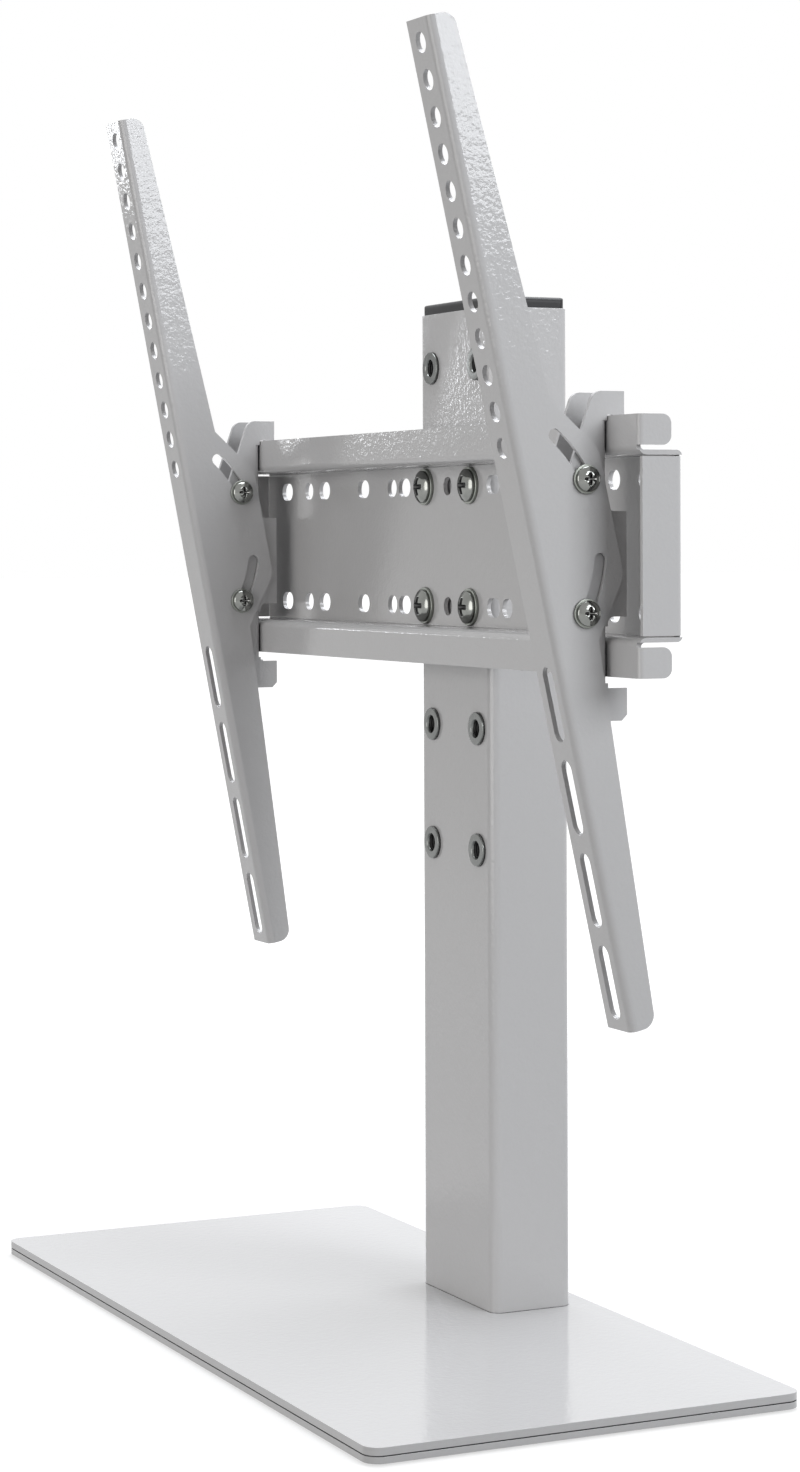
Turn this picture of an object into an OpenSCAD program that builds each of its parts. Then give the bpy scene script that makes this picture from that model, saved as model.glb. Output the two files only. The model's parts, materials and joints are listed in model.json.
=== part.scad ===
// Table-top television stand: a two-plate base, a rectangular column with five rows of rivet
// nuts, a folded hanging rail and two tilting arms that hook over it.
// X runs along the rail, the screen side faces -Y, Z is up. The origin is under the base centre.

/* [Base] */
// Width of the base plates
base_w = 430; // [400:1:520]
// Depth of the base plates
base_d = 195; // [180:1:260]
// Corner radius of the base plates
base_corner_r = 7; // [4:0.5:20]
// Thickness of the upper base plate
top_plate_t = 3.2; // [2.5:0.1:5]
// Thickness of the lower base plate
bottom_plate_t = 3.2; // [2.5:0.1:5]
// Width of the step round the lower plate that shows as a dark line
step_w = 0.8; // [0.4:0.1:1.5]
// Height of that step
step_h = 0.5; // [0.3:0.1:1]
// Diameter of a non-slip pad
pad_d = 24; // [16:1:34]
// Thickness of a non-slip pad
pad_t = 1; // [0.8:0.1:3]
// Distance from the base edges to a pad's centre
pad_inset = 24; // [20:1:40]
// Spacing of the base bolts along X
foot_bolt_dx = 46; // [36:1:48]
// Spacing of the base bolts along Y
foot_bolt_dy = 18; // [16:1:19]
// Shank diameter of a base bolt
foot_bolt_d = 8; // [6:0.5:8]
// Head diameter of a countersunk base bolt
foot_bolt_head_d = 15; // [13:0.5:16]
// Height of the countersunk head
foot_bolt_head_h = 3.5; // [3:0.1:4]

/* [Column] */
// Width of the column tube
column_w = 74; // [70:1:90]
// Depth of the column tube
column_d = 40; // [38:1:50]
// Length of the column tube
column_h = 452.5; // [440:0.5:520]
// Outer corner radius of the tube
column_r = 5; // [3:0.5:7]
// Wall thickness of the tube
column_wall = 2; // [1.5:0.1:2.5]
// Distance from the tube to the rear edge of the base
column_rear_margin = 11; // [4:0.5:30]
// Thickness of the threaded plate welded inside the foot
foot_plate_t = 8; // [6:0.5:12]
// How far the end cap stands above the tube
cap_rise = 5; // [3:0.5:8]
// How far the cap's edge stays inside the tube's outline
cap_inset = 1; // [0.5:0.1:1.5]
// Radius along the cap's top edge
cap_edge_r = 2.5; // [1:0.1:2.8]
// Depth of the cap's plug
cap_plug_h = 13; // [8:0.5:14]
// Wall thickness of the cap's plug
cap_plug_wall = 2; // [1.5:0.1:3]

/* [Rivet nuts] */
// Rows of rivet nuts
rivet_rows = 5; // [4:1:5]
// Distance between the rows
rivet_pitch = 55; // [50:1:60]
// Distance from the top of the tube to the top row
rivet_top_margin = 25; // [24:0.5:40]
// Distance between the two nuts of a row
rivet_dx = 46; // [42:1:50]
// Row from the bottom that holds the rail's lower screws, counted from 0
rail_row = 2; // [1:1:2]
// Flange diameter
rivet_flange_d = 15; // [13:0.5:16]
// Flange thickness
rivet_flange_t = 1.5; // [1:0.1:2]
// Body diameter
rivet_body_d = 11; // [10:0.1:11.5]
// Body length behind the flange
rivet_len = 17; // [14:0.5:20]
// Diameter of the crimped bulge behind the wall
rivet_bulge_d = 13.5; // [12:0.1:14.5]
// Diameter of the threaded bore
rivet_bore_d = 6.8; // [6.6:0.1:7]

/* [Rail] */
// Length of the rail
rail_w = 420; // [410:1:430]
// Height of the rail over its two lips
rail_h = 106; // [104:1:112]
// Depth of the rail from its back to its lips
rail_depth = 20; // [19:0.5:22]
// Sheet thickness of the rail
rail_t = 2; // [1.5:0.1:2.5]
// Inner radius of the bends behind the shelves and at the rail's ends
rail_bend_r = 0.5; // [0.3:0.1:0.5]
// Inner radius of the bends between shelves and lips
lip_bend_r = 1.8; // [0.5:0.1:1.8]
// Height of a lip from the channel side of its shelf
lip_h = 16.4; // [15.8:0.1:16.4]
// Length of the tab that closes each lip's end
tab_len = 14.8; // [12:0.1:15.5]
// Height of that tab
tab_h = 12.5; // [10:0.5:12.5]
// Corner radius of the tab
tab_r = 4; // [2:0.5:5]
// Depth of the flange that closes each end of the channel
end_flange_d = 18.5; // [14:0.5:18.5]
// Gap between that flange and the shelves
end_flange_gap = 0.6; // [0.2:0.1:2]
// How far the shelves stay short of the rail's ends
shelf_setback = 0.5; // [0.3:0.1:2]
// Height of the rail's holes
rail_hole_h = 8.5; // [8.2:0.1:9]
// Width of the slots that share the pitch of the rivet nuts
rail_slot_w = 13; // [10:0.5:15]
// Width of the extra slots
extra_slot_w = 10; // [9:0.5:12]
// Place of the inner extra slots along the rail
extra_slot_x1 = 59.5; // [58:0.5:61]
// Place of the outer extra slots along the rail
extra_slot_x2 = 157; // [154:0.5:159]

/* [Rail screws] */
// Head diameter
rail_screw_head_d = 15; // [13:0.5:16]
// Head height
rail_screw_head_h = 5; // [4:0.1:5.5]
// Diameter of the thread's core
rail_screw_core_d = 6.6; // [6:0.1:6.6]
// Length under the head
rail_screw_len = 16; // [14:0.5:19]
// Washer diameter
rail_washer_d = 17; // [16:0.5:17]
// Washer thickness
rail_washer_t = 1.5; // [1:0.1:2]
// Washer bore
rail_washer_bore = 8.4; // [8:0.1:9]

/* [Brackets] */
// Width over the bracket's two walls
bracket_w = 20; // [18:0.5:22]
// Sheet thickness of a bracket
bracket_t = 2; // [1.5:0.1:2.5]
// Inner bend radius of a bracket
bracket_bend_r = 1; // [0.5:0.1:1.5]
// Clearance between bracket and rail
bracket_gap = 0.3; // [0.2:0.05:0.5]
// Height of the hook above the lip
hook_rise = 10; // [7:0.5:14]
// Reach of the hook behind the front of the lip
hook_reach = 7.5; // [6.5:0.5:9]
// Drop of the hook's prong behind the lip
prong_drop = 9.5; // [6:0.5:11]
// Top of the middle block above the rail's middle
block_top = 14.3; // [8:0.1:20]
// Bottom of the middle block below the rail's middle
block_bottom = 28.6; // [24:0.1:31]
// Reach of the middle block and of the foot behind the front of the lip
block_reach = 8.5; // [6:0.5:9.5]
// Fillet where the block meets the front of the wall
block_fillet_r = 3; // [1:0.5:4]
// Gap between the lower lip and the foot
foot_drop = 4.6; // [3:0.1:8]
// Height of the foot
foot_h = 13.4; // [8:0.1:16]
// Chamfer at the foot's rear corner
foot_chamfer = 2.5; // [1:0.1:4]
// How far the bracket's nose stands in front of the lip
nose_reach = 24; // [20:0.5:26]
// Half height of the upright part of the nose
nose_half = 13; // [8:0.5:18]
// How far the top edge reaches in front of the lip
top_reach = 6.5; // [4:0.5:9]
// Rounding of the bracket's outline
bracket_r = 5; // [2:0.5:6]
// Distance of the tilt screws in front of the lip
screw_ahead = 11.3; // [10:0.1:13]

/* [Tilt] */
// Radius of the arc on which the tilt screws lie
tilt_r = 57.75; // [56:0.25:60]
// Height of each tilt screw above or below the rail's middle
tilt_screw_half = 27.1; // [25:0.1:29]
// Farthest tilt forwards from upright, in degrees
tilt_forward = 12.5; // [5:0.5:12.5]
// Farthest tilt backwards from upright, in degrees
tilt_back = 10; // [2:0.5:12.5]
// Forward lean of the right arm as shown, in degrees
right_lean = 12.5; // [-12.5:0.1:12.5]
// Forward lean of the left arm as shown, in degrees
left_lean = 10.8; // [-12.5:0.1:12.5]
// Place of the right arm's outer face along the rail
right_arm_x = 186.6; // [62:0.1:200]
// Place of the left arm's outer face along the rail
left_arm_x = -174.4; // [-175:0.1:-60]
// Shank diameter of a tilt screw
tilt_screw_d = 5; // [4:0.5:6]
// Clearance round a tilt screw in its arc slot
arc_slot_fit = 0.3; // [0.1:0.05:0.5]
// Head diameter of a tilt screw
tilt_head_d = 10.5; // [9:0.5:12]
// Head height of a tilt screw
tilt_head_h = 3.3; // [3:0.1:4.5]
// Diameter of a tilt washer
tilt_washer_d = 12; // [10:0.5:14]
// Thickness of a tilt washer
tilt_washer_t = 1; // [0.8:0.1:1.6]
// Width over the flats of a tilt nut
tilt_nut_af = 8; // [8:0.5:11]
// Height of a tilt nut
tilt_nut_h = 4; // [3:0.1:6]
// Running gap beside each arm's web
tilt_gap = 0.2; // [0.1:0.05:0.3]

/* [Arms] */
// Length of an arm
arm_len = 418; // [410:1:440]
// Width of the flange that the screen bolts to
arm_flange_w = 20; // [19:0.5:24]
// Sheet thickness of an arm
arm_t = 2; // [1.5:0.1:2.5]
// Inner bend radius of an arm
arm_bend_r = 1.5; // [0.5:0.1:2]
// Distance of the flange behind the tilt axis
flange_behind_axis = 26.7; // [25:0.1:28]
// Depth of the web at the arm's ends
web_end_w = 11.4; // [10:0.1:14]
// Depth of the web where the middle lobe starts
web_root_w = 20.2; // [18:0.1:22]
// Depth of the web at the lobe
lobe_w = 37.3; // [37:0.1:39]
// Half length of the lobe at its root
lobe_root_half = 49.5; // [47:0.5:55]
// Half length of the lobe at its rear edge
lobe_rear_half = 26.5; // [25:0.5:28]
// Rounding of the lobe's corners
lobe_r = 12; // [6:0.5:14]
// Rounding of the arm's ends
arm_end_r = 6; // [3:0.5:8]
// Diameter of the round holes in the flange
arm_hole_d = 8.5; // [7:0.1:9]
// Number of round holes
arm_holes = 12; // [8:1:12]
// Pitch of the round holes
arm_hole_pitch = 15; // [14:0.5:15.5]
// Distance from the arm's top to the first hole
arm_first_hole = 9.5; // [8:0.5:14]
// Distance of the holes from the flange's free edge
arm_hole_edge = 9; // [8:0.5:10]
// Number of long slots
arm_slots = 4; // [2:1:4]
// Length of a slot
arm_slot_len = 31.5; // [26:0.5:33]
// Pitch of the slots
arm_slot_pitch = 39; // [37:0.5:40]
// Distance from the last slot to the arm's lower end
arm_slot_margin = 4.5; // [4:0.5:10]

/* [Hidden] */
$fn = 64;
cut = 1;
// Rounding arcs are drawn this much larger, so that they cross the edges beside them instead of just touching
arc_grow = 1.004;

coat = [0.76, 0.77, 0.78];
zinc = [0.68, 0.69, 0.66];
black_plastic = [0.07, 0.07, 0.07];
rubber = [0.12, 0.12, 0.12];

// Heights of the stack that carries the column
bottom_plate_z = pad_t;
top_plate_z = bottom_plate_z + bottom_plate_t;
base_top_z = top_plate_z + top_plate_t;

// Column, rivet nuts and rail, from the rear edge of the base forwards
column_front_y = base_d / 2 - column_rear_margin - column_d;
rail_back_y = column_front_y - rivet_flange_t;
lip_front_y = rail_back_y - rail_depth;
rivet_low_z = base_top_z + column_h - rivet_top_margin - (rivet_rows - 1) * rivet_pitch;
rail_mid_z = rivet_low_z + (rail_row + 0.5) * rivet_pitch;
shelf_half = rail_h / 2 - lip_h;
rail_bend_out = rail_bend_r + rail_t;
rail_half_run = rail_w / 2 - rail_bend_out;
rivet_fit = 0.1;

// Bolts of the foot
foot_bolt_clear = 0.3;
foot_bolt_len = bottom_plate_t + top_plate_t + foot_plate_t - 1;
foot_plate_fit = 0.2;

// Tilt axis, which lies ahead of the arms
tilt_screw_y = lip_front_y - screw_ahead;
tilt_axis_y = tilt_screw_y - sqrt(tilt_r * tilt_r - tilt_screw_half * tilt_screw_half);
screw_angle = asin(tilt_screw_half / tilt_r);
arc_slot_w = tilt_screw_d + 2 * arc_slot_fit;

// Outline of an arm, measured behind the tilt axis
flange_y = flange_behind_axis;
web_end_y = flange_y + web_end_w;
web_root_y = flange_y + web_root_w;
lobe_y = flange_y + lobe_w;
slots_low = -arm_len / 2 + arm_slot_margin;

function unit(v) = v / norm(v);

// The sliver outside an arc of radius r that rounds corner p between its neighbours a and b
module corner_sliver(p, a, b, r) {
    ua = unit(a - p);
    ub = unit(b - p);
    half = acos(ua * ub) / 2;
    run = r / tan(half);
    difference() {
        polygon([p + ua * run, p - unit(ua + ub), p + ub * run]);
        translate(p + unit(ua + ub) * r / sin(half)) circle(r * arc_grow);
    }
}

// Fills the square inner corner p between its neighbours a and b
module corner_fill(p, a, b, r) {
    ua = unit(a - p);
    ub = unit(b - p);
    difference() {
        polygon([p + ua * r, p - unit(ua + ub), p + ub * r]);
        translate(p + (ua + ub) * r) circle(r * arc_grow);
    }
}

// A flat outline raised along X from x = 0
module along_x(length) {
    rotate([90, 0, 90]) linear_extrude(length) children();
}

module rounded_rect(w, d, r) {
    square([w - 2 * r, d], center = true);
    square([w, d - 2 * r], center = true);
    for (sx = [-1, 1], sy = [-1, 1])
        translate([sx * (w / 2 - r), sy * (d / 2 - r)]) circle(r);
}

// Bent strip with its outer corner at the origin, one leg along -x and one along +y
module bent_strip(leg_x, leg_y, t, inner_r) {
    outer_r = inner_r + t;
    translate([-leg_x, 0]) square([leg_x - outer_r, t]);
    translate([-t, outer_r]) square([t, leg_y - outer_r]);
    translate([-outer_r, outer_r]) intersection() {
        difference() {
            circle(outer_r);
            circle(inner_r);
        }
        translate([0, -outer_r]) square(outer_r);
    }
}

module slot_2d(length, width) {
    run = (length - width) / 2;
    square([2 * run, width], center = true);
    for (s = [-1, 1]) translate([s * run, 0]) circle(d = width);
}

// Domed head with a cross recess, on a plain shank that points down
module pan_screw(head_d, head_h, shank_d, length) {
    rim_h = head_h * 0.4;
    dome = head_h - rim_h;
    dome_r = (head_d * head_d / 4 + dome * dome) / (2 * dome);
    recess_l = head_d * 0.55;
    recess_w = head_d * 0.13;
    difference() {
        union() {
            intersection() {
                cylinder(d = head_d, h = head_h);
                translate([0, 0, head_h - dome_r]) sphere(dome_r);
            }
            translate([0, 0, -length]) cylinder(d = shank_d, h = length + rim_h / 2);
        }
        for (turn = [0, 90]) rotate([0, 0, turn])
            translate([-recess_l / 2, -recess_w / 2, rim_h]) cube([recess_l, recess_w, head_h]);
    }
}

module washer(d, bore, t) {
    difference() {
        cylinder(d = d, h = t);
        translate([0, 0, -cut]) cylinder(d = bore, h = t + 2 * cut);
    }
}

module at_foot_bolts() {
    for (sx = [-1, 1], sy = [-1, 1])
        translate([sx * foot_bolt_dx / 2, column_front_y + column_d / 2 + sy * foot_bolt_dy / 2, 0])
            children();
}

// One place for each screw and nut that holds the rail
module at_rail_screws() {
    for (sx = [-1, 1], sz = [-1, 1])
        translate([sx * rivet_dx / 2, 0, rail_mid_z + sz * rivet_pitch / 2]) children();
}

module foot_bolt_hole() {
    head_r = foot_bolt_head_d / 2 + foot_bolt_clear;
    hole_r = foot_bolt_d / 2 + foot_bolt_clear;
    translate([0, 0, bottom_plate_z - cut]) cylinder(r = hole_r, h = base_top_z - bottom_plate_z + 2 * cut);
    translate([0, 0, bottom_plate_z]) cylinder(r1 = head_r, r2 = hole_r, h = foot_bolt_head_h + foot_bolt_clear);
    translate([0, 0, bottom_plate_z - cut]) cylinder(r = head_r, h = cut);
}

module base_top_plate() {
    color(coat) difference() {
        translate([0, 0, top_plate_z]) linear_extrude(top_plate_t)
            rounded_rect(base_w, base_d, base_corner_r);
        at_foot_bolts() foot_bolt_hole();
    }
}

// The lower plate steps in just under the upper one, which leaves the dark line round the edge
module base_bottom_plate() {
    color(coat) difference() {
        translate([0, 0, bottom_plate_z]) union() {
            linear_extrude(bottom_plate_t - step_h) rounded_rect(base_w, base_d, base_corner_r);
            linear_extrude(bottom_plate_t)
                rounded_rect(base_w - 2 * step_w, base_d - 2 * step_w, base_corner_r - step_w);
        }
        at_foot_bolts() foot_bolt_hole();
    }
}

module base_pads() {
    color(rubber) for (sx = [-1, 1], sy = [-1, 1])
        translate([sx * (base_w / 2 - pad_inset), sy * (base_d / 2 - pad_inset), 0])
            cylinder(d = pad_d, h = pad_t);
}

module base_bolts() {
    color(zinc) at_foot_bolts() translate([0, 0, bottom_plate_z]) difference() {
        union() {
            cylinder(d1 = foot_bolt_head_d, d2 = foot_bolt_d, h = foot_bolt_head_h);
            cylinder(d = foot_bolt_d, h = foot_bolt_len);
        }
        // Hexagon socket
        translate([0, 0, -cut]) cylinder(d = foot_bolt_d * 0.62, h = cut + foot_bolt_head_h * 0.7, $fn = 6);
    }
}

module column_tube() {
    color(coat) difference() {
        translate([0, column_front_y + column_d / 2, base_top_z]) linear_extrude(column_h) difference() {
            rounded_rect(column_w, column_d, column_r);
            rounded_rect(column_w - 2 * column_wall, column_d - 2 * column_wall, column_r - column_wall);
        }
        for (row = [0 : rivet_rows - 1], sx = [-1, 1])
            translate([sx * rivet_dx / 2, column_front_y - cut, rivet_low_z + row * rivet_pitch])
                rotate([-90, 0, 0]) cylinder(d = rivet_body_d + 2 * rivet_fit, h = column_wall + 2 * cut);
    }
}

module column_foot_plate() {
    inner_w = column_w - 2 * column_wall - 2 * foot_plate_fit;
    inner_d = column_d - 2 * column_wall - 2 * foot_plate_fit;
    color(zinc) difference() {
        translate([0, column_front_y + column_d / 2, base_top_z]) linear_extrude(foot_plate_t)
            rounded_rect(inner_w, inner_d, column_r - column_wall);
        at_foot_bolts() translate([0, 0, base_top_z - cut])
            cylinder(d = foot_bolt_d + 2 * rivet_fit, h = foot_plate_t + 2 * cut);
    }
}

// Side view of the cap's lid, with both top edges rounded
module cap_profile(w) {
    translate([-w / 2, 0]) square([w, cap_rise - cap_edge_r]);
    translate([cap_edge_r - w / 2, 0]) square([w - 2 * cap_edge_r, cap_rise]);
    for (s = [-1, 1]) translate([s * (w / 2 - cap_edge_r), cap_rise - cap_edge_r]) circle(cap_edge_r);
}

// Moulded plug: a crowned lid on a rectangular skirt that grips the tube
module column_cap() {
    lid_w = column_w - 2 * cap_inset;
    lid_d = column_d - 2 * cap_inset;
    lid_r = column_r - cap_inset;
    plug_w = column_w - 2 * column_wall - 2 * foot_plate_fit;
    plug_d = column_d - 2 * column_wall - 2 * foot_plate_fit;
    plug_r = column_r - column_wall;
    rib_t = 1.6;
    top_z = base_top_z + column_h;
    color(black_plastic) translate([0, column_front_y + column_d / 2, top_z]) {
        intersection() {
            linear_extrude(cap_rise) rounded_rect(lid_w, lid_d, lid_r);
            translate([-lid_w / 2, 0, 0]) along_x(lid_w) cap_profile(lid_d);
            rotate(90) translate([-lid_d / 2, 0, 0]) along_x(lid_d) cap_profile(lid_w);
        }
        translate([0, 0, -cap_plug_h]) linear_extrude(cap_plug_h) difference() {
            rounded_rect(plug_w, plug_d, plug_r);
            square([plug_w - 2 * cap_plug_wall, plug_d - 2 * cap_plug_wall], center = true);
        }
        for (sx = [-1, 1])
            translate([sx * plug_w / 6 - rib_t / 2, -plug_d / 2 + cap_plug_wall, -cap_plug_h])
                cube([rib_t, plug_d - 2 * cap_plug_wall, cap_plug_h]);
    }
}

// Turned outline: flange, body, crimped bulge and a through bore
module rivet_nut() {
    flange_r = rivet_flange_d / 2;
    body_r = rivet_body_d / 2;
    bulge_r = rivet_bulge_d / 2;
    bore_r = rivet_bore_d / 2;
    bulge_z = column_wall + rivet_fit;
    bulge_h = bulge_r - body_r;
    edge = 0.3;
    rotate([-90, 0, 0]) translate([0, 0, -rivet_flange_t]) rotate_extrude() polygon([
        [bore_r, 0], [flange_r - edge, 0], [flange_r, edge], [flange_r, rivet_flange_t],
        [body_r, rivet_flange_t], [body_r, rivet_flange_t + bulge_z],
        [bulge_r, rivet_flange_t + bulge_z], [bulge_r, rivet_flange_t + bulge_z + bulge_h],
        [body_r, rivet_flange_t + bulge_z + 2 * bulge_h], [body_r, rivet_len], [bore_r, rivet_len]
    ]);
}

module rivet_nuts() {
    color(zinc) for (row = [0 : rivet_rows - 1], sx = [-1, 1])
        translate([sx * rivet_dx / 2, column_front_y, rivet_low_z + row * rivet_pitch]) rivet_nut();
}

// Section of the rail: back, shelf, lip; forward is +x of the outline, the middle is y = 0
module rail_section() {
    lip_x = rail_depth;
    for (s = [0, 1]) mirror([0, s]) {
        square([rail_t, shelf_half + rail_t - rail_bend_out]);
        // Bend from the back into the shelf
        translate([0, shelf_half + rail_t]) rotate(180)
            bent_strip(rail_depth / 2, shelf_half / 2, rail_t, rail_bend_r);
        // Bend from the shelf into the lip
        translate([lip_x, shelf_half]) bent_strip(rail_depth / 2, lip_h, rail_t, lip_bend_r);
    }
}

// The shelves and their bends alone, without the back and the lips
module shelf_section() {
    intersection() {
        rail_section();
        for (s = [0, 1]) mirror([0, s]) translate([-cut, shelf_half]) square([rail_depth + 2 * cut, rail_t]);
    }
}

module rail_end() {
    flange_half = shelf_half - end_flange_gap;
    run = rail_bend_out + cut;
    translate([rail_half_run - cut, rail_back_y, rail_mid_z]) along_x(rail_bend_out - shelf_setback + cut)
        mirror([1, 0]) shelf_section();
    // Flange that closes the channel
    translate([rail_w / 2, rail_back_y, rail_mid_z - flange_half]) linear_extrude(2 * flange_half)
        mirror([0, 1]) bent_strip(run, end_flange_d, rail_t, rail_bend_r);
    // Lip ends folded back as tabs
    for (s = [-1, 1]) {
        tab_z = rail_mid_z + s * (rail_h / 2 - tab_h / 2);
        difference() {
            translate([rail_w / 2, lip_front_y, tab_z - tab_h / 2]) linear_extrude(tab_h)
                bent_strip(run, tab_len, rail_t, rail_bend_r);
            translate([rail_w / 2 - 2 * rail_t, lip_front_y, tab_z]) along_x(3 * rail_t)
                for (up = [-1, 1])
                    corner_sliver([tab_len, up * tab_h / 2], [0, up * tab_h / 2], [tab_len, -up * tab_h / 2], tab_r);
        }
    }
}

module mount_rail() {
    slot_rows = [-rivet_pitch / 2, rivet_pitch / 2];
    pitch_count = floor((rail_half_run - rail_slot_w) / rivet_dx);
    color(coat) difference() {
        union() {
            translate([-rail_half_run, rail_back_y, rail_mid_z]) along_x(2 * rail_half_run)
                mirror([1, 0]) rail_section();
            rail_end();
            mirror([1, 0, 0]) rail_end();
        }
        for (z = slot_rows) translate([0, rail_back_y + cut, rail_mid_z + z]) rotate([90, 0, 0])
            linear_extrude(rail_t + 2 * cut) {
                for (place = [-0.5, 0, 0.5]) translate([place * rivet_dx, 0]) circle(d = rail_hole_h);
                for (s = [-1, 1]) {
                    for (i = [1 : pitch_count]) translate([s * i * rivet_dx, 0])
                        slot_2d(rail_slot_w, rail_hole_h);
                    translate([s * extra_slot_x1, 0]) slot_2d(extra_slot_w, rail_hole_h);
                    translate([s * extra_slot_x2, 0]) slot_2d(extra_slot_w, rail_hole_h);
                }
            }
    }
}

module rail_washers() {
    color(zinc) at_rail_screws() translate([0, rail_back_y - rail_t, 0]) rotate([90, 0, 0])
        washer(rail_washer_d, rail_washer_bore, rail_washer_t);
}

module rail_screws() {
    color(zinc) at_rail_screws() translate([0, rail_back_y - rail_t - rail_washer_t, 0]) rotate([90, 0, 0])
        pan_screw(rail_screw_head_d, rail_screw_head_h, rail_screw_core_d, rail_screw_len);
}

// Side view of a bracket wall: x is the distance behind the lip's front, y the height from the rail's middle
module bracket_outline() {
    back = -bracket_gap;
    hook_z = rail_h / 2 + bracket_gap;
    top = rail_h / 2 + hook_rise;
    prong_x = rail_t + bracket_gap;
    foot_top = -rail_h / 2 - foot_drop;
    foot_low = foot_top - foot_h;
    nose_top = [-nose_reach, nose_half];
    nose_low = [-nose_reach, -nose_half];
    top_front = [-top_reach, top];
    low_front = [-top_reach, foot_low];
    block_high = [back, block_top];
    block_low = [back, -block_bottom];
    difference() {
        polygon([
            [hook_reach, top], top_front, nose_top, nose_low, low_front,
            [block_reach - foot_chamfer, foot_low], [block_reach, foot_low + foot_chamfer],
            [block_reach, foot_top], [back, foot_top],
            block_low, [block_reach, -block_bottom], [block_reach, block_top], block_high,
            [back, hook_z], [prong_x, hook_z], [prong_x, hook_z - prong_drop], [hook_reach, hook_z - prong_drop]
        ]);
        corner_sliver(top_front, [hook_reach, top], nose_top, bracket_r);
        corner_sliver(nose_top, top_front, nose_low, bracket_r);
        corner_sliver(nose_low, nose_top, low_front, bracket_r);
        corner_sliver(low_front, nose_low, [block_reach, foot_low], bracket_r);
    }
    corner_fill(block_high, [back, hook_z], [block_reach, block_top], block_fillet_r);
    corner_fill(block_low, [back, foot_top], [block_reach, -block_bottom], block_fillet_r);
}

// Folded channel: two walls, and a web that lies on the lips where nothing reaches behind them
module bracket(wall_x) {
    outer_r = bracket_bend_r + bracket_t;
    relief = block_fillet_r + 1;
    web_spans = [
        [-rail_h / 2 - foot_drop + bracket_t, -block_bottom - relief],
        [block_top + relief, rail_h / 2 - bracket_t]
    ];
    web_y = lip_front_y - bracket_gap;
    color(coat) difference() {
        union() {
            for (x = [wall_x - bracket_t, wall_x - bracket_w])
                translate([x, lip_front_y, rail_mid_z]) along_x(bracket_t) bracket_outline();
            for (span = web_spans)
                translate([wall_x - bracket_w / 2, web_y, rail_mid_z + span[0]])
                    linear_extrude(span[1] - span[0]) for (s = [0, 1]) mirror([s, 0])
                        translate([bracket_w / 2, 0]) mirror([0, 1])
                            bent_strip(bracket_w / 2 + cut, 2 * outer_r, bracket_t, bracket_bend_r);
        }
        // Outer rounding of the two bends
        for (span = web_spans, s = [0, 1])
            translate([wall_x - bracket_w / 2, web_y, rail_mid_z + span[0]]) mirror([s, 0, 0])
                linear_extrude(span[1] - span[0])
                    corner_sliver([bracket_w / 2, 0], [0, 0], [bracket_w / 2, -bracket_w], outer_r);
        for (sz = [-1, 1])
            translate([wall_x - bracket_t - cut, tilt_screw_y, rail_mid_z + sz * tilt_screw_half])
                rotate([0, 90, 0]) cylinder(d = tilt_screw_d + 2 * rivet_fit, h = bracket_t + 2 * cut);
    }
}

// Arc slot of one tilt screw, in the plane of the web; side is 1 above the axis and -1 below it
module arc_slot(side) {
    from = side * screw_angle - tilt_forward;
    to = side * screw_angle + tilt_back;
    reach = 2 * tilt_r;
    intersection() {
        difference() {
            circle(tilt_r + arc_slot_w / 2, $fn = 128);
            circle(tilt_r - arc_slot_w / 2, $fn = 128);
        }
        polygon([[0, 0], reach * [cos(from), sin(from)], reach * [cos(to), sin(to)]]);
    }
    for (a = [from, to]) rotate(a) translate([tilt_r, 0]) circle(d = arc_slot_w * arc_grow);
}

module arm_outline() {
    top = arm_len / 2;
    difference() {
        polygon([
            [flange_y, top], [web_end_y, top], [web_root_y, lobe_root_half], [lobe_y, lobe_rear_half],
            [lobe_y, -lobe_rear_half], [web_root_y, -lobe_root_half], [web_end_y, -top], [flange_y, -top]
        ]);
        for (s = [-1, 1]) {
            corner_sliver([web_end_y, s * top], [flange_y, s * top], [web_root_y, s * lobe_root_half], arm_end_r);
            corner_sliver([lobe_y, s * lobe_rear_half], [web_root_y, s * lobe_root_half],
                [lobe_y, -s * lobe_rear_half], lobe_r);
        }
        for (s = [-1, 1]) arc_slot(s);
    }
}

// Arm with its outer face at x = 0 and the tilt axis along x through the origin
module arm() {
    hole_x = -arm_flange_w + arm_hole_edge;
    difference() {
        intersection() {
            translate([0, flange_y, -arm_len / 2]) linear_extrude(arm_len)
                bent_strip(arm_flange_w, lobe_w, arm_t, arm_bend_r);
            translate([-arm_flange_w - cut, 0, 0]) along_x(arm_flange_w + 2 * cut) arm_outline();
        }
        translate([hole_x, flange_y - cut, 0]) rotate([-90, 0, 0]) linear_extrude(arm_t + 2 * cut) {
            for (i = [0 : arm_holes - 1])
                translate([0, -(arm_len / 2 - arm_first_hole - i * arm_hole_pitch)]) circle(d = arm_hole_d);
            for (i = [0 : arm_slots - 1])
                translate([0, -(slots_low + arm_slot_len / 2 + i * arm_slot_pitch)])
                    rotate(90) slot_2d(arm_slot_len, arm_hole_d);
        }
    }
}

// The arm's lean stays within what the arc slots allow
module placed_arm(arm_x, lean) {
    held_lean = max(-tilt_back, min(lean, tilt_forward));
    color(coat) translate([arm_x, tilt_axis_y, rail_mid_z]) rotate([held_lean, 0, 0]) arm();
}

module at_tilt_screws(x) {
    for (sz = [-1, 1])
        translate([x, tilt_screw_y, rail_mid_z + sz * tilt_screw_half]) rotate([0, 90, 0]) children();
}

function wall_x(arm_x) = arm_x - arm_t - tilt_gap;

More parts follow.
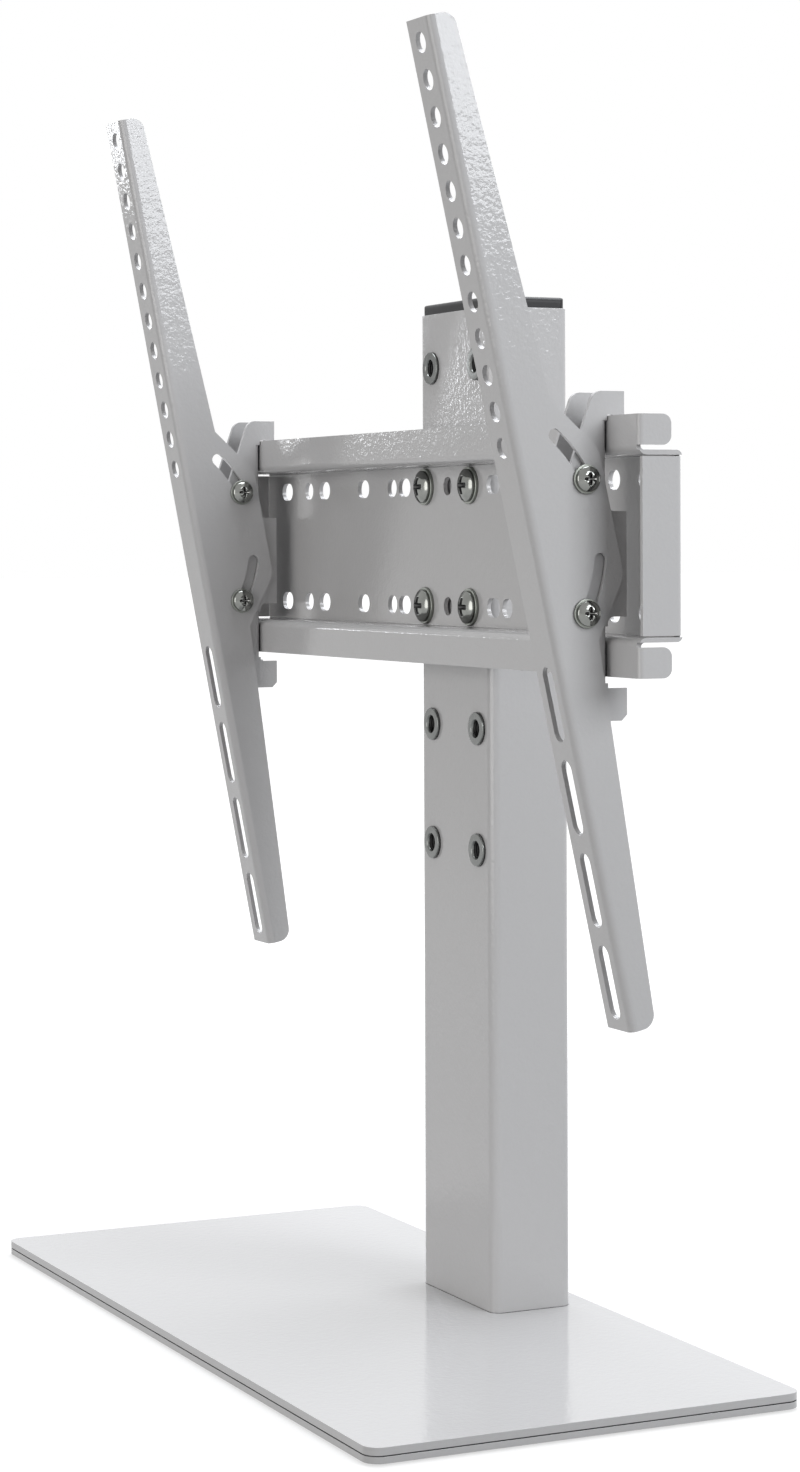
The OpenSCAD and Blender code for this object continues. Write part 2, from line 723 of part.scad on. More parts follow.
module tilt_screws(arm_x) {
    grip = tilt_washer_t + 2 * tilt_gap + arm_t + bracket_t;
    color(zinc) at_tilt_screws(arm_x + tilt_gap + tilt_washer_t)
        pan_screw(tilt_head_d, tilt_head_h, tilt_screw_d, grip + tilt_nut_h + 1);
}

module tilt_washers(arm_x) {
    color(zinc) at_tilt_screws(arm_x + tilt_gap)
        washer(tilt_washer_d, tilt_screw_d + 2 * tilt_gap, tilt_washer_t);
}

module tilt_nuts(arm_x) {
    color(zinc) at_tilt_screws(wall_x(arm_x) - bracket_t - tilt_nut_h) difference() {
        cylinder(d = tilt_nut_af / cos(30), h = tilt_nut_h, $fn = 6);
        translate([0, 0, -cut]) cylinder(d = tilt_screw_d + 2 * rivet_fit, h = tilt_nut_h + 2 * cut);
    }
}

module right_bracket() { bracket(wall_x(right_arm_x)); }
module right_arm() { placed_arm(right_arm_x, right_lean); }
module right_tilt_screws() { tilt_screws(right_arm_x); }
module right_tilt_washers() { tilt_washers(right_arm_x); }
module right_tilt_nuts() { tilt_nuts(right_arm_x); }
module left_bracket() { bracket(wall_x(left_arm_x)); }
module left_arm() { placed_arm(left_arm_x, left_lean); }
module left_tilt_screws() { tilt_screws(left_arm_x); }
module left_tilt_washers() { tilt_washers(left_arm_x); }
module left_tilt_nuts() { tilt_nuts(left_arm_x); }

base_top_plate();
base_bottom_plate();
base_pads();
base_bolts();
column_tube();
column_foot_plate();
column_cap();
rivet_nuts();
mount_rail();
rail_screws();
rail_washers();
right_bracket();
right_arm();
right_tilt_screws();
right_tilt_washers();
right_tilt_nuts();
left_bracket();
left_arm();
left_tilt_screws();
left_tilt_washers();
left_tilt_nuts();
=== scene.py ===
import bpy
import bmesh
import json
from math import cos, pi, radians, sin, sqrt
from mathutils import Matrix, Vector


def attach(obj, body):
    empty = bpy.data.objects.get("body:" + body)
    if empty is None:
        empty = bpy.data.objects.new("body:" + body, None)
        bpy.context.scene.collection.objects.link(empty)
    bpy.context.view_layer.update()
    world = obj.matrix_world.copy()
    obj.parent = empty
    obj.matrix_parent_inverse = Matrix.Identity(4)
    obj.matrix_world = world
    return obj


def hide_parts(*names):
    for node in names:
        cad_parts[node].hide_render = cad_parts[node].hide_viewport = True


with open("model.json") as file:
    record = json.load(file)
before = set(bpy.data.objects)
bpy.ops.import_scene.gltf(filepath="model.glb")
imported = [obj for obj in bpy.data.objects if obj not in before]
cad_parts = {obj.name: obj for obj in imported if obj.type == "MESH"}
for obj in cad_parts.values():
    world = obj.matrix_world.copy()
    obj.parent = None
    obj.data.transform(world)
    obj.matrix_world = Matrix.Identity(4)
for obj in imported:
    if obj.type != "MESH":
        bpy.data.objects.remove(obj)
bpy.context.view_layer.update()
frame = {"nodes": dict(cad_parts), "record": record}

print("frame loaded:", len(frame["nodes"]), "CAD nodes")

millimetre = 0.001
plainWhite = (1.0, 1.0, 1.0, 1.0)
scene = bpy.context.scene

# Which body each CAD node rides on
bodyOf = {}
for bodyName, members in frame["record"]["behaviour"]["bodies"].items():
    for member in members:
        bodyOf[member] = bodyName


def feed(tree, value, socket):
    # A number or colour is set on the socket, and another node's output is linked to it
    if isinstance(value, (int, float, tuple)):
        socket.default_value = value
    else:
        tree.links.new(value, socket)


def addNode(tree, kind, **settings):
    node = tree.nodes.new(kind)
    for key, value in settings.items():
        setattr(node, key, value)
    return node


def addMath(tree, operation, *values, clamp=False):
    node = addNode(tree, "ShaderNodeMath", operation=operation, use_clamp=clamp)
    for slot, value in enumerate(values):
        feed(tree, value, node.inputs[slot])
    return node.outputs[0]


def addNoise(tree, vector, scale, detail=0.0, roughness=0.5):
    node = addNode(tree, "ShaderNodeTexNoise")
    for label, value in (("Vector", vector), ("Scale", scale), ("Detail", detail), ("Roughness", roughness)):
        feed(tree, value, node.inputs[label])
    return node.outputs["Fac"]


def mixColour(tree, factor, first, second):
    node = addNode(tree, "ShaderNodeMix", data_type="RGBA")
    for slot, value in ((0, factor), (6, first), (7, second)):  # the sockets that a colour mix uses
        feed(tree, value, node.inputs[slot])
    return node.outputs[2]


def newGroup(name, inputs, outputs):
    tree = bpy.data.node_groups.new(name, "ShaderNodeTree")
    for label, value in inputs.items():
        socket = tree.interface.new_socket(name=label, in_out="INPUT", socket_type="NodeSocketFloat")
        socket.default_value = value
    for label in outputs:
        tree.interface.new_socket(name=label, in_out="OUTPUT", socket_type="NodeSocketFloat")
    return tree, tree.nodes.new("NodeGroupInput").outputs, tree.nodes.new("NodeGroupOutput").inputs


def buildEdgeMask():
    # 1 along sharp edges, 0 on flat faces
    tree, taken, given = newGroup("edgeMask", {"Radius": 0.0006, "Strength": 4.0}, ["Mask"])
    bevel = addNode(tree, "ShaderNodeBevel", samples=4)
    tree.links.new(taken["Radius"], bevel.inputs["Radius"])
    facing = addNode(tree, "ShaderNodeVectorMath", operation="DOT_PRODUCT")
    tree.links.new(bevel.outputs[0], facing.inputs[0])
    tree.links.new(addNode(tree, "ShaderNodeNewGeometry").outputs["Normal"], facing.inputs[1])
    turned = addMath(tree, "SUBTRACT", 1.0, facing.outputs["Value"])
    tree.links.new(addMath(tree, "MULTIPLY", turned, taken["Strength"], clamp=True), given["Mask"])
    return tree


def buildPaintedShadeMask():
    # Painted shade: 1 deep in the lines where pieces meet, where ambient occlusion finds them shaded, 0 in the
    # open
    tree, taken, given = newGroup("paintedShadeMask", {"Reach": 0.0015, "Start": 0.35, "Strength": 2.5}, ["Mask"])
    covered = addNode(tree, "ShaderNodeAmbientOcclusion", samples=4)
    tree.links.new(taken["Reach"], covered.inputs["Distance"])
    closed = addMath(tree, "SUBTRACT", 1.0, covered.outputs["AO"])
    deep = addMath(tree, "SUBTRACT", closed, taken["Start"])
    tree.links.new(addMath(tree, "MULTIPLY", deep, taken["Strength"], clamp=True), given["Mask"])
    return tree


# Ripple is the share of the long ripple in the height, speck how much finer the specks are than the peel
coatGrain = {"peelDetail": 1.0, "peelRoughness": 0.4, "ripple": 0.8, "speck": 1.9}


def buildCoatSkin(grain):
    # Sprayed and baked powder: fine orange peel over a longer ripple, with slight changes of tone
    tree, taken, given = newGroup(
        "coatSkin", {"Peel": 420.0, "Ripple": 150.0, "Cloud": 9.0}, ["Height", "Tone", "Speck"])
    place = addNode(tree, "ShaderNodeTexCoord").outputs["Object"]
    peel = addNoise(tree, place, taken["Peel"], grain["peelDetail"], grain["peelRoughness"])
    ripple = addNoise(tree, place, taken["Ripple"])
    speckSize = addMath(tree, "MULTIPLY", taken["Peel"], grain["speck"])
    tree.links.new(addMath(tree, "MULTIPLY_ADD", ripple, grain["ripple"], peel), given["Height"])
    tree.links.new(addNoise(tree, place, taken["Cloud"]), given["Tone"])
    tree.links.new(addNoise(tree, place, speckSize), given["Speck"])
    return tree


platedGrain = {"detail": 3.0, "roughness": 0.6}


def buildPlatedSkin(grain):
    # Zinc plating: a very fine grain, and a cloudy tone
    tree, taken, given = newGroup("platedSkin", {"Grain": 900.0, "Cloud": 180.0}, ["Height", "Tone"])
    place = addNode(tree, "ShaderNodeTexCoord").outputs["Object"]
    for source, result in (("Grain", "Height"), ("Cloud", "Tone")):
        noise = addNoise(tree, place, taken[source], grain["detail"], grain["roughness"])
        tree.links.new(noise, given[result])
    return tree


edgeMask = buildEdgeMask()
paintedShadeMask = buildPaintedShadeMask()
coatSkin = buildCoatSkin(coatGrain)
platedSkin = buildPlatedSkin(platedGrain)


def useGroup(tree, group, **values):
    node = addNode(tree, "ShaderNodeGroup", node_tree=group)
    for label, value in values.items():
        node.inputs[label].default_value = value
    return node.outputs


def newMaterial(name):
    material = bpy.data.materials.new(name)
    material.use_nodes = True
    tree = material.node_tree
    return material, tree, tree.nodes["Principled BSDF"]


def addBump(tree, shader, height, distance):
    bump = addNode(tree, "ShaderNodeBump")
    bump.inputs["Distance"].default_value = distance
    bump.inputs["Strength"].default_value = 1.0
    tree.links.new(height, bump.inputs["Height"])
    tree.links.new(bump.outputs["Normal"], shader.inputs["Normal"])


def wornAndHighlightedEdges(tree, colour, look):
    # The lighter edge colour, laid over the rest by the edge mask: partly wear and thin coat at the edges,
    # partly a painted highlight along them
    edges = useGroup(tree, edgeMask, Radius=look["edgeRadius"])
    worn = addMath(tree, "MULTIPLY", edges["Mask"], look["edgeStrength"])
    return mixColour(tree, worn, colour, look["edge"])


def spreadRoughness(tree, shader, tone, look):
    least = look["roughness"] - look["roughnessSpread"] / 2
    gloss = addMath(tree, "MULTIPLY_ADD", tone, look["roughnessSpread"], least)
    tree.links.new(gloss, shader.inputs["Roughness"])


coatLook = {
    "light": (0.500, 0.495, 0.495, 1.0), "dark": (0.468, 0.463, 0.462, 1.0), "speckShare": 0.35,
    "edge": (0.56, 0.56, 0.56, 1.0), "edgeRadius": 0.0006, "edgeStrength": 0.4,
    "paintedShade": (0.15, 0.15, 0.152, 1.0), "paintedShadeReach": 0.001,
    "roughness": 0.09, "roughnessSpread": 0.03, "sheen": 0.42,
    "peelSize": 720.0, "rippleSize": 300.0, "peelDepth": 0.000085,
}


def powderCoat(name, look):
    material, tree, shader = newMaterial(name)
    skin = useGroup(tree, coatSkin, Peel=look["peelSize"], Ripple=look["rippleSize"])
    clouds = addMath(tree, "MULTIPLY", skin["Tone"], 1.0 - look["speckShare"])
    tone = addMath(tree, "MULTIPLY_ADD", skin["Speck"], look["speckShare"], clouds)
    colour = wornAndHighlightedEdges(tree, mixColour(tree, tone, look["dark"], look["light"]), look)
    # Painted shade: the colour is darkened in the lines where pieces meet, where the occlusion mask finds shade
    paintedShade = useGroup(tree, paintedShadeMask, Reach=look["paintedShadeReach"])
    colour = mixColour(tree, paintedShade["Mask"], colour, look["paintedShade"])
    tree.links.new(colour, shader.inputs["Base Color"])
    spreadRoughness(tree, shader, skin["Tone"], look)
    shader.inputs["Specular IOR Level"].default_value = look["sheen"]
    addBump(tree, shader, skin["Height"], look["peelDepth"])
    return material


zincLook = {
    "light": (0.44, 0.44, 0.43, 1.0), "dark": (0.24, 0.24, 0.235, 1.0),
    "edge": (0.62, 0.62, 0.61, 1.0), "edgeRadius": 0.0003, "edgeStrength": 0.4,
    "roughness": 0.20, "roughnessSpread": 0.12, "grainDepth": 0.00001,
}


def zincPlate(name, look):
    material, tree, shader = newMaterial(name)
    skin = useGroup(tree, platedSkin)
    colour = wornAndHighlightedEdges(tree, mixColour(tree, skin["Tone"], look["dark"], look["light"]), look)
    tree.links.new(colour, shader.inputs["Base Color"])
    spreadRoughness(tree, shader, skin["Tone"], look)
    shader.inputs["Metallic"].default_value = 1.0
    addBump(tree, shader, skin["Height"], look["grainDepth"])
    return material


mouldedLook = {
    "light": (0.030, 0.030, 0.031, 1.0), "dark": (0.014, 0.014, 0.015, 1.0), "speckShare": 0.35,
    "edge": (0.09, 0.09, 0.09, 1.0), "edgeRadius": 0.0008, "edgeStrength": 0.35,
    "paintedShade": (0.01, 0.01, 0.01, 1.0), "paintedShadeReach": 0.001,
    "roughness": 0.42, "roughnessSpread": 0.12, "sheen": 0.2,
    "peelSize": 1500.0, "rippleSize": 300.0, "peelDepth": 0.00003,
}
rubberLook = {
    "light": (0.045, 0.045, 0.045, 1.0), "dark": (0.025, 0.025, 0.026, 1.0), "speckShare": 0.35,
    "edge": (0.08, 0.08, 0.08, 1.0), "edgeRadius": 0.0004, "edgeStrength": 0.3,
    "paintedShade": (0.02, 0.02, 0.02, 1.0), "paintedShadeReach": 0.001,
    "roughness": 0.85, "roughnessSpread": 0.1, "sheen": 0.2,
    "peelSize": 2200.0, "rippleSize": 500.0, "peelDepth": 0.00004,
}

coat = powderCoat("lightGreyPowderCoat", coatLook)
# The plates' coat gets a near-black painted shade in the line between the two plates
plateCoat = powderCoat("lightGreyPlateCoat", dict(  # smoother, and dark in the line between the plates
    coatLook, roughness=0.07, roughnessSpread=0.02, peelDepth=0.00005, sheen=0.45,
    paintedShade=(0.02, 0.02, 0.022, 1.0), paintedShadeReach=0.002))
zinc = zincPlate("brightZincPlate", zincLook)
screwZinc = zincPlate("polishedZincPlate", dict(
    zincLook, light=(0.29, 0.295, 0.28, 1.0), dark=(0.16, 0.165, 0.155, 1.0), roughness=0.13))
washerZinc = zincPlate("dullZincPlate", dict(
    zincLook, light=(0.33, 0.345, 0.315, 1.0), dark=(0.22, 0.23, 0.21, 1.0),
    edge=(0.5, 0.5, 0.47, 1.0), roughness=0.36))
# Painted shade: near-black zinc for the threads, the rivet nuts' bores and the rail screws' cross recesses,
# where shade falls
paintedShadeZinc = zincPlate("paintedShadeThread", dict(
    zincLook, light=(0.05, 0.05, 0.05, 1.0), dark=(0.02, 0.02, 0.02, 1.0),
    edge=(0.10, 0.10, 0.10, 1.0), roughness=0.4))
# Painted shade: a darker zinc sunk into the tilt screws' cross recesses
recessPaintedShadeZinc = zincPlate("recessPaintedShadeZincPlate", dict(
    zincLook, light=(0.26, 0.26, 0.25, 1.0), dark=(0.08, 0.08, 0.08, 1.0), roughness=0.16))
# The rivet nuts' rims take a stronger lighter edge, partly wear and partly a painted highlight
rivetZinc = zincPlate("greyZincPlate", dict(
    zincLook, light=(0.21, 0.215, 0.21, 1.0), dark=(0.12, 0.125, 0.12, 1.0),
    edge=(0.5, 0.5, 0.49, 1.0), roughness=0.24, edgeStrength=0.7))
moulded = powderCoat("blackMouldedPlastic", mouldedLook)
rubber = powderCoat("matBlackRubber", rubberLook)
materialFor = {"coat": coat, "plate": plateCoat, "zinc": zinc, "cap": moulded, "pad": rubber}
print("materials made")


def finishPiece(name, shape, materials, nodeName):
    # Makes the object, and puts it in the place of its CAD node
    mesh = bpy.data.meshes.new(name)
    shape.to_mesh(mesh)
    shape.free()
    for material in materials:
        mesh.materials.append(material)
    piece = bpy.data.objects.new(name, mesh)
    scene.collection.objects.link(piece)
    mesh.shade_smooth()
    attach(piece, bodyOf[nodeName])
    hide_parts(nodeName)
    return piece


def evenNormals(piece):
    evener = piece.modifiers.new("evenNormals", "WEIGHTED_NORMAL")
    evener.keep_sharp = True
    evener.weight = 100


def roundEdges(piece, width, segments, angle):
    bevel = piece.modifiers.new("roundEdges", "BEVEL")
    bevel.width = width
    bevel.segments = segments
    bevel.limit_method = "ANGLE"
    bevel.angle_limit = radians(angle)
    bevel.harden_normals = True
    evenNormals(piece)


# Sheet metal, bolts, cap and pads keep their CAD outline, and get the soft edges that the finish gives
dressedPieces = {
    "base_top_plate": {"slot": "coat", "skin": "plate", "rounding": 0.0006, "segments": 3},
    "base_bottom_plate": {"slot": "coat", "skin": "plate", "rounding": 0.0007, "segments": 3},
    "base_pads": {"slot": "pad", "skin": "pad", "rounding": 0.0002, "segments": 2},
    "base_bolts": {"slot": "zinc", "skin": "zinc", "rounding": 0.0003, "segments": 2},
    "column_tube": {"slot": "coat", "skin": "coat", "rounding": 0.0003, "segments": 2},
    "column_foot_plate": {"slot": "zinc", "skin": "zinc", "rounding": 0.0003, "segments": 2},
    "column_cap": {"slot": "cap", "skin": "cap", "rounding": 0.0003, "segments": 2},
    "mount_rail": {"slot": "coat", "skin": "coat", "rounding": 0.0003, "segments": 2},
    "right_bracket": {"slot": "coat", "skin": "coat", "rounding": 0.0004, "segments": 2},
    "left_bracket": {"slot": "coat", "skin": "coat", "rounding": 0.0004, "segments": 2},
    "right_arm": {"slot": "coat", "skin": "coat", "rounding": 0.0004, "segments": 2},
    "left_arm": {"slot": "coat", "skin": "coat", "rounding": 0.0004, "segments": 2},
}
dressing = {"weldDistance": 0.000001, "flatAngle": 0.4, "edgeAngle": 35.0}


def dressNode(nodeName, values):
    # A copy of the CAD mesh with its loose triangles joined into whole faces
    shape = bmesh.new()
    shape.from_mesh(frame["nodes"][nodeName].data)
    bmesh.ops.remove_doubles(shape, verts=shape.verts, dist=dressing["weldDistance"])
    bmesh.ops.dissolve_limit(
        shape, angle_limit=radians(dressing["flatAngle"]), verts=shape.verts, edges=shape.edges)
    piece = finishPiece(
        nodeName + "_dressed", shape, [materialFor[values["skin"]]], nodeName)
    roundEdges(piece, values["rounding"], values["segments"], dressing["edgeAngle"])


for nodeName, values in dressedPieces.items():
    dressNode(nodeName, values)
print("sheet metal, bolts, cap and pads dressed")


# The fasteners below are drawn in millimetres about Z, and then turned and set down in their places
def spinProfile(shape, profile, segments, seamDistance=0.0005):
    # Turns an outline of (radius, height) pairs about Z
    verts = [shape.verts.new((radius, 0.0, height)) for radius, height in profile]
    edges = [shape.edges.new(pair) for pair in zip(verts, verts[1:])]
    bmesh.ops.spin(
        shape, geom=verts + edges, cent=(0, 0, 0), axis=(0, 0, 1),
        angle=2 * pi, steps=segments, use_merge=True)
    bmesh.ops.remove_doubles(shape, verts=shape.verts, dist=seamDistance)


def addLoop(shape, points):
    verts = [shape.verts.new(point) for point in points]
    return [shape.edges.new((verts[i - 1], verts[i])) for i in range(len(verts))]


def fromAxis(point):
    return Vector(point[:2]).length


def ringAt(shape, radius, height, tolerance=0.001):
    # The free edges of a turned outline that lie on one circle
    def onCircle(vert):
        return abs(vert.co.z - height) < tolerance and abs(fromAxis(vert.co) - radius) < tolerance
    return [edge for edge in shape.edges if edge.is_boundary and all(onCircle(vert) for vert in edge.verts)]


# Where one ridge of a thread starts, rises, and ends, as shares of the pitch
threadShape = {"rootStart": 0.05, "rootEnd": 0.25, "crestStart": 0.55, "crestEnd": 0.75}


def ridges(crest, root, start, end, pitch):
    # Outline of a thread, drawn as separate ridges between two heights
    points = []
    for i in range(int((end - start) / pitch)):
        low = start + i * pitch
        points += [(root, low + threadShape[share] * pitch) for share in ("rootStart", "rootEnd")]
        points += [(crest, low + threadShape[share] * pitch) for share in ("crestStart", "crestEnd")]
    return points


def placeCopies(source, turn, spots):
    whole = bmesh.new()
    for spot in spots:
        copy = source.copy()
        where = Matrix.Translation(Vector(spot) * millimetre)
        bmesh.ops.transform(copy, matrix=where @ turn @ Matrix.Scale(millimetre, 4), verts=copy.verts)
        holder = bpy.data.meshes.new("holder")
        copy.to_mesh(holder)
        copy.free()
        whole.from_mesh(holder)
        bpy.data.meshes.remove(holder)
    source.free()
    return whole


alongMinusY = Matrix.Rotation(radians(90.0), 4, "X")
alongY = Matrix.Rotation(radians(-90.0), 4, "X")
alongX = Matrix.Rotation(radians(90.0), 4, "Y")

# Places of the fasteners in millimetres, as in the CAD model
places = {
    "tiltY": 13.7, "tiltRows": (325.3, 379.5),
    "tiltHeadX": {"right": 187.8, "left": -173.2}, "tiltNutX": {"right": 178.4, "left": -182.6},
    "columnX": (-23, 23), "railRows": (324.9, 379.9), "railHeadY": 41.5, "railWasherY": 43.0,
    "rivetY": 45.0, "rivetLow": 214.9, "rivetPitch": 55.0, "rivetRows": 5,
}


def tiltPlaces(x):
    return [(x, places["tiltY"], z) for z in places["tiltRows"]]


def railPlaces(y):
    return [(x, y, z) for x in places["columnX"] for z in places["railRows"]]


def crossRing(armLength, armHalf, heightAt, segments):
    # A plus-shaped ring, as seen from above, with its points at even angles
    points = []
    for i in range(segments):
        angle = 2 * pi * i / segments
        off = abs(sin(angle - pi / 2 * round(2 * angle / pi)))
        radius = armLength if off * armLength <= armHalf else armHalf / off
        points.append((radius * cos(angle), radius * sin(angle), heightAt(radius)))
    return points


# Lengths in mm. Rim is the upright share of the head's height, and the recess is in shares of the head
screwShape = {
    "tipTaper": 0.5, "threadGap": 0.1, "neck": 0.7, "neckPlay": 0.05,
    "rimRound": 0.35, "rimStep": 0.1, "rimTop": 0.8, "domeEdge": 0.985, "segments": 64,
}
tiltScrewLook = dict(
    screwShape, headD=10.5, headH=3.3, rim=0.4, domeSteps=6,
    shankD=5.0, length=10.4, threadDepth=0.35, pitch=0.8,
    recess=0.56, recessWidth=0.13, recessDepth=0.60)
railScrewLook = dict(
    screwShape, headD=15.0, headH=3.6, rim=0.30, domeSteps=8,
    shankD=6.6, length=16.0, threadDepth=0.45, pitch=1.25,
    recess=0.60, recessWidth=0.16, recessDepth=0.60)

# Steps down into the cross recess, as shares of its arm length, half width and depth
recessShape = {
    "arm": 0.93, "rimLong": 0.97, "rimWide": 0.86, "rimDeep": 0.12, "floorLong": 0.52, "floorWide": 0.55,
    "pointSize": 0.5, "pointDeep": 1.15, "toneDeep": 0.06, "toneReach": 0.95,
}


def screwOutline(look, domeHeight, recessR):
    # From the tip up the shank, out under the head, and in over the dome to the recess
    headR, shankR, tip = look["headD"] / 2, look["shankD"] / 2, -look["length"]
    taper, gap, neck, neckR = look["tipTaper"], look["threadGap"], look["neck"], shankR - look["neckPlay"]
    rimRound, rimStep, domeEdge = look["rimRound"], look["rimStep"], headR * look["domeEdge"]
    outline = [(0.0, tip), (shankR - taper - gap, tip), (shankR - gap, tip + taper)]
    outline += ridges(shankR, shankR - look["threadDepth"], tip + taper + gap, -neck - gap, look["pitch"])
    outline += [(neckR, -neck), (neckR, 0.0), (headR - rimRound, 0.0), (headR - rimStep, rimStep)]
    outline += [(headR, rimRound), (headR, look["rim"] * look["headH"] * look["rimTop"])]
    for i in range(look["domeSteps"] + 1):
        radius = domeEdge + (recessR - domeEdge) * i / look["domeSteps"]
        outline.append((radius, domeHeight(radius)))
    return outline


def panHeadScrew(look):
    # Head up, shank down from z = 0: a turned outline with a tapered cross recess sunk into the dome
    headR, headH, segments = look["headD"] / 2, look["headH"], look["segments"]
    dome = headH * (1 - look["rim"])
    domeR = (headR ** 2 + dome ** 2) / (2 * dome)

    def domeHeight(radius):
        return headH - domeR + sqrt(domeR ** 2 - radius ** 2)

    recessR = look["recess"] * headR
    shape = bmesh.new()
    spinProfile(shape, screwOutline(look, domeHeight, recessR), segments)
    edge = ringAt(shape, recessR, domeHeight(recessR))
    steps = recessShape
    armLength, armHalf = recessR * steps["arm"], look["recessWidth"] * headR
    depth = look["recessDepth"] * headH
    rimDrop, point = steps["rimDeep"] * depth, armHalf * steps["pointSize"]
    recessRings = [
        (armLength, armHalf, domeHeight),
        (armLength * steps["rimLong"], armHalf * steps["rimWide"], lambda radius: domeHeight(radius) - rimDrop),
        (armLength * steps["floorLong"], armHalf * steps["floorWide"], lambda radius: headH - depth),
        (point, point, lambda radius: headH - depth * steps["pointDeep"]),
    ]
    for ring in recessRings:
        inner = addLoop(shape, crossRing(*ring, segments))
        bmesh.ops.bridge_loops(shape, edges=edge + inner)
        edge = inner
    bmesh.ops.edgeloop_fill(shape, edges=edge)
    bmesh.ops.recalc_face_normals(shape, faces=shape.faces)
    for face in shape.faces:
        middle = face.calc_center_median()
        sunk = domeHeight(min(fromAxis(middle), headR)) - middle.z > steps["toneDeep"] * depth
        if middle.z < -look["neck"]:
            face.material_index = 1  # the thread
        elif middle.z > 0.0 and sunk and fromAxis(middle) < recessR * steps["toneReach"]:
            face.material_index = 2  # the recess
    return shape


for side, headX in places["tiltHeadX"].items():
    shape = placeCopies(panHeadScrew(tiltScrewLook), alongX, tiltPlaces(headX))
    evenNormals(finishPiece(
        side + "_tilt_screws_turned", shape, [screwZinc, paintedShadeZinc, recessPaintedShadeZinc],
        side + "_tilt_screws"))
# The rail screws' cross recesses take the near-black painted shade as well
shape = placeCopies(panHeadScrew(railScrewLook), alongMinusY, railPlaces(places["railHeadY"]))
evenNormals(finishPiece(
    "rail_screws_turned", shape, [screwZinc, paintedShadeZinc, paintedShadeZinc], "rail_screws"))
print("cross-head screws made")


# The outer corners are rounded in two steps, and the bore's are cut off; both are shares of soft
washerShape = {"outerStep": 0.3, "boreCut": 0.4}
tiltWasherLook = dict(washerShape, outerD=12.0, boreD=5.4, thickness=1.0, soft=0.25, segments=64)
railWasherLook = dict(washerShape, outerD=17.0, boreD=8.4, thickness=1.5, soft=0.35, segments=72)


def flatWasher(look):
    outer, bore, high, soft = look["outerD"] / 2, look["boreD"] / 2, look["thickness"], look["soft"]
    step, mouth = soft * look["outerStep"], bore + soft * look["boreCut"]
    outline = [
        (bore, soft), (mouth, 0.0), (outer - soft, 0.0), (outer - step, step), (outer, soft),
        (outer, high - soft), (outer - step, high - step), (outer - soft, high),
        (mouth, high), (bore, high - soft), (bore, soft),
    ]
    shape = bmesh.new()
    spinProfile(shape, outline, look["segments"])
    bmesh.ops.recalc_face_normals(shape, faces=shape.faces)
    return shape


for side, headX in places["tiltHeadX"].items():
    shape = placeCopies(
        flatWasher(tiltWasherLook), alongX, tiltPlaces(headX - tiltWasherLook["thickness"]))
    evenNormals(finishPiece(
        side + "_tilt_washers_turned", shape, [washerZinc], side + "_tilt_washers"))
shape = placeCopies(flatWasher(railWasherLook), alongMinusY, railPlaces(places["railWasherY"]))
evenNormals(finishPiece("rail_washers_turned", shape, [washerZinc], "rail_washers"))
print("washers made")


# The chamfer starts at the share "face" of the hexagon's half width, and rises at the slope outwards
tiltNutLook = {
    "acrossFlats": 8.0, "height": 4.0, "face": 0.95, "chamferSlope": 0.5,
    "bore": 5.2, "mouthWidth": 0.4, "mouthDepth": 0.35, "threadDepth": 0.3, "pitch": 0.8,
    "lowGap": 0.15, "highGap": 0.05, "rounding": 0.0001, "edgeSegments": 2, "edgeAngle": 50.0, "segments": 60,
}


def hexNut(look):
    # Each ring follows the hexagon; where the chamfer cone cuts it, its height follows the cone
    half, high, bore = look["acrossFlats"] / 2, look["height"], look["bore"] / 2
    faceR, mouthR, mouth = half * look["face"], bore + look["mouthWidth"], look["mouthDepth"]
    angles = [2 * pi * i / look["segments"] for i in range(look["segments"])]

    def hexRing(low):
        points = []
        for angle in angles:
            off = angle - pi / 3 * round(3 * angle / pi - 0.5) - pi / 6
            radius = half / cos(off)
            chamfer = (radius - faceR) * look["chamferSlope"]
            points.append((radius * cos(angle), radius * sin(angle), chamfer if low else high - chamfer))
        return points

    def roundRing(radius, height):
        return [(radius * cos(angle), radius * sin(angle), height) for angle in angles]

    shape = bmesh.new()
    threadLow, threadHigh = mouth + look["lowGap"], high - mouth - look["highGap"]
    thread = ridges(bore, bore + look["threadDepth"], threadLow, threadHigh, look["pitch"])
    rings = [roundRing(faceR, 0.0), hexRing(True), hexRing(False), roundRing(faceR, high)]
    rings += [roundRing(mouthR, high), roundRing(bore, high - mouth)]
    rings += [roundRing(radius, height) for radius, height in thread[::-1]]
    rings += [roundRing(bore, mouth), roundRing(mouthR, 0.0)]
    loops = [addLoop(shape, ring) for ring in rings]
    for first, second in zip(loops, loops[1:] + loops[:1]):
        bmesh.ops.bridge_loops(shape, edges=first + second)
    bmesh.ops.recalc_face_normals(shape, faces=shape.faces)
    return shape


for side, nutX in places["tiltNutX"].items():
    shape = placeCopies(hexNut(tiltNutLook), alongX, tiltPlaces(nutX))
    piece = finishPiece(side + "_tilt_nuts_cut", shape, [zinc], side + "_tilt_nuts")
    roundEdges(piece, tiltNutLook["rounding"], tiltNutLook["edgeSegments"], tiltNutLook["edgeAngle"])
print("nuts made")


rivetNutLook = {
    "flangeD": 15.0, "flangeT": 1.5, "bodyD": 11.0, "length": 17.0, "bulgeD": 13.5, "grip": 2.1,
    "boreD": 6.8, "mouth": 1.0, "mouthWidth": 1.1, "mouthStep": 0.9, "threadDepth": 0.6, "threadGap": 0.3,
    "pitch": 1.25, "flangeRound": 0.5, "flangeStep": 0.15, "bulgeShoulder": 0.8, "soft": 0.05,
    "toneStart": 0.6, "toneReach": 0.1, "segments": 64,
}


